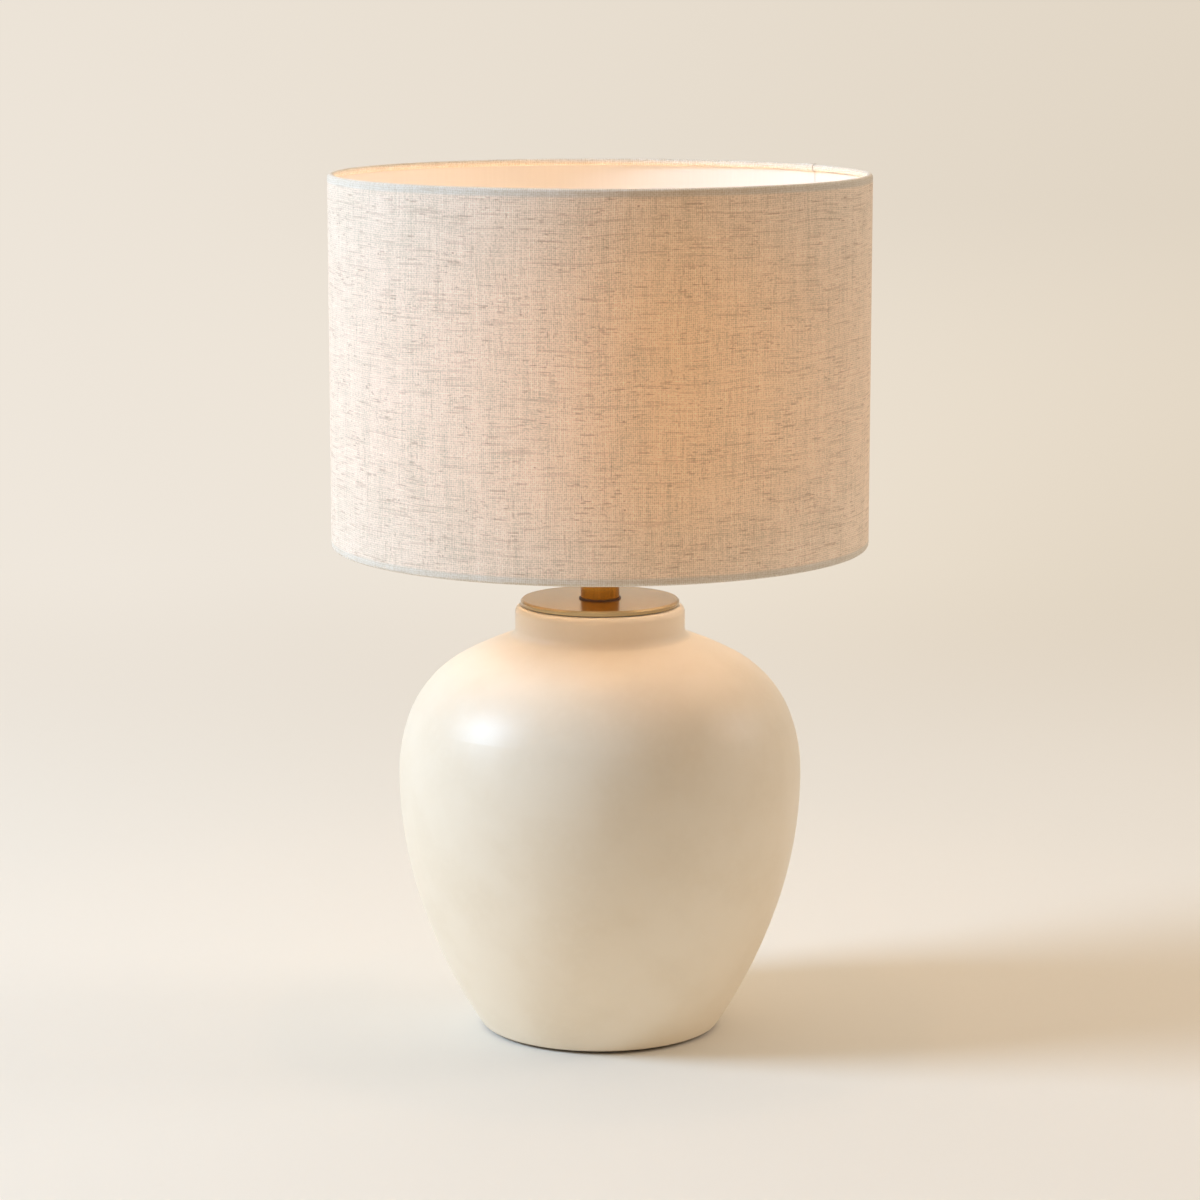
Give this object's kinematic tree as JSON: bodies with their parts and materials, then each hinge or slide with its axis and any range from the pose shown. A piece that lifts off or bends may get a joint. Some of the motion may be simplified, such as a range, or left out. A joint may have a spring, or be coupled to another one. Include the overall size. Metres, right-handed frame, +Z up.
{
  "type": "ginger jar table lamp",
  "caption": "Table lamp with a glazed ceramic ginger jar base, brass cap and stem, and a linen drum shade.",
  "frame": {"origin": "centre of the base pad's underside, on the surface the lamp stands on", "axes": "+Z up along the lamp's axis; -Y towards the front, +Y towards the cord inlet; +X to the front view's right"},
  "size_m": [0.35, 0.35, 0.564],
  "materials": {
    "glazed_ceramic": "cream glaze, satin to glossy",
    "grommet_plastic": "cream nylon",
    "felt": "dark brown felt",
    "black_rubber": "matte black",
    "zinc_steel": "bright zinc plate",
    "polished_brass": "satin polished brass",
    "brushed_brass": "brushed antique brass",
    "dark_fibre": "dark brown, almost black",
    "holder_plastic": "white moulded thermoplastic",
    "porcelain": "white unglazed porcelain",
    "contact_brass": "bright strip",
    "switch_plastic": "black phenolic",
    "linen": "natural flecked linen",
    "shade_liner": "warm white styrene sheet",
    "white_wire": "white powder coat",
    "opal_plastic": "opal, lit from inside",
    "bulb_plastic": "white",
    "bulb_metal": "nickel plate",
    "bulb_insulator": "black",
    "led_board": "white-coated aluminium",
    "led_emitters": "yellow phosphor"
  },
  "bodies": {
    "root": {"jar_body": "glazed_ceramic", "cord_grommet": "grommet_plastic", "base_pad": "felt", "rubber_washer": "black_rubber", "steel_washer": "zinc_steel", "spring_washer": "zinc_steel", "foot_nut": "zinc_steel", "threaded_rod": "zinc_steel", "cap_gasket": "black_rubber", "cap_disc": "polished_brass", "cap_locator": "zinc_steel", "cap_nuts": "zinc_steel", "stem_seat_ring": "dark_fibre", "stem_tube": "brushed_brass", "stem_top_ring": "polished_brass", "holder_cap": "holder_plastic", "grub_screw": "zinc_steel", "holder_insert": "porcelain", "terminal_screws": "contact_brass", "switch_block": "switch_plastic", "screw_shell": "contact_brass", "centre_contact": "contact_brass", "holder_skirt": "holder_plastic"},
    "switch": {"switch_bar": "switch_plastic", "switch_tips": "switch_plastic"},
    "shade": {"shade_fabric": "linen", "shade_liner": "shade_liner", "top_wire_ring": "white_wire", "bottom_wire_ring": "white_wire", "spider_arms": "white_wire", "fitter_ring": "white_wire"},
    "clamp_ring": {"shade_clamp_ring": "holder_plastic"},
    "bulb": {"bulb_dome": "opal_plastic", "bulb_housing": "bulb_plastic", "bulb_screw_cap": "bulb_metal", "bulb_insulator": "bulb_insulator", "bulb_end_contact": "bulb_metal", "led_board": "led_board", "leds": "led_emitters"}
  },
  "joints": [
    {"name": "switch_push", "type": "slide", "parent": "root", "child": "switch", "axis": [-1, 0, 0], "range_m": [0, 0.006]},
    {"name": "shade_turn", "type": "hinge", "parent": "root", "child": "shade", "pos_m": [0, 0, 0.3534], "axis": [0, 0, 1], "continuous": true},
    {"name": "clamp_ring_turn", "type": "hinge", "parent": "root", "child": "clamp_ring", "pos_m": [0, 0, 0.3559], "axis": [0, 0, 1], "continuous": true},
    {"name": "bulb_lift", "type": "slide", "parent": "root", "child": "bulb", "axis": [0, 0, 1], "range_m": [0, 0.225]}
  ]
}
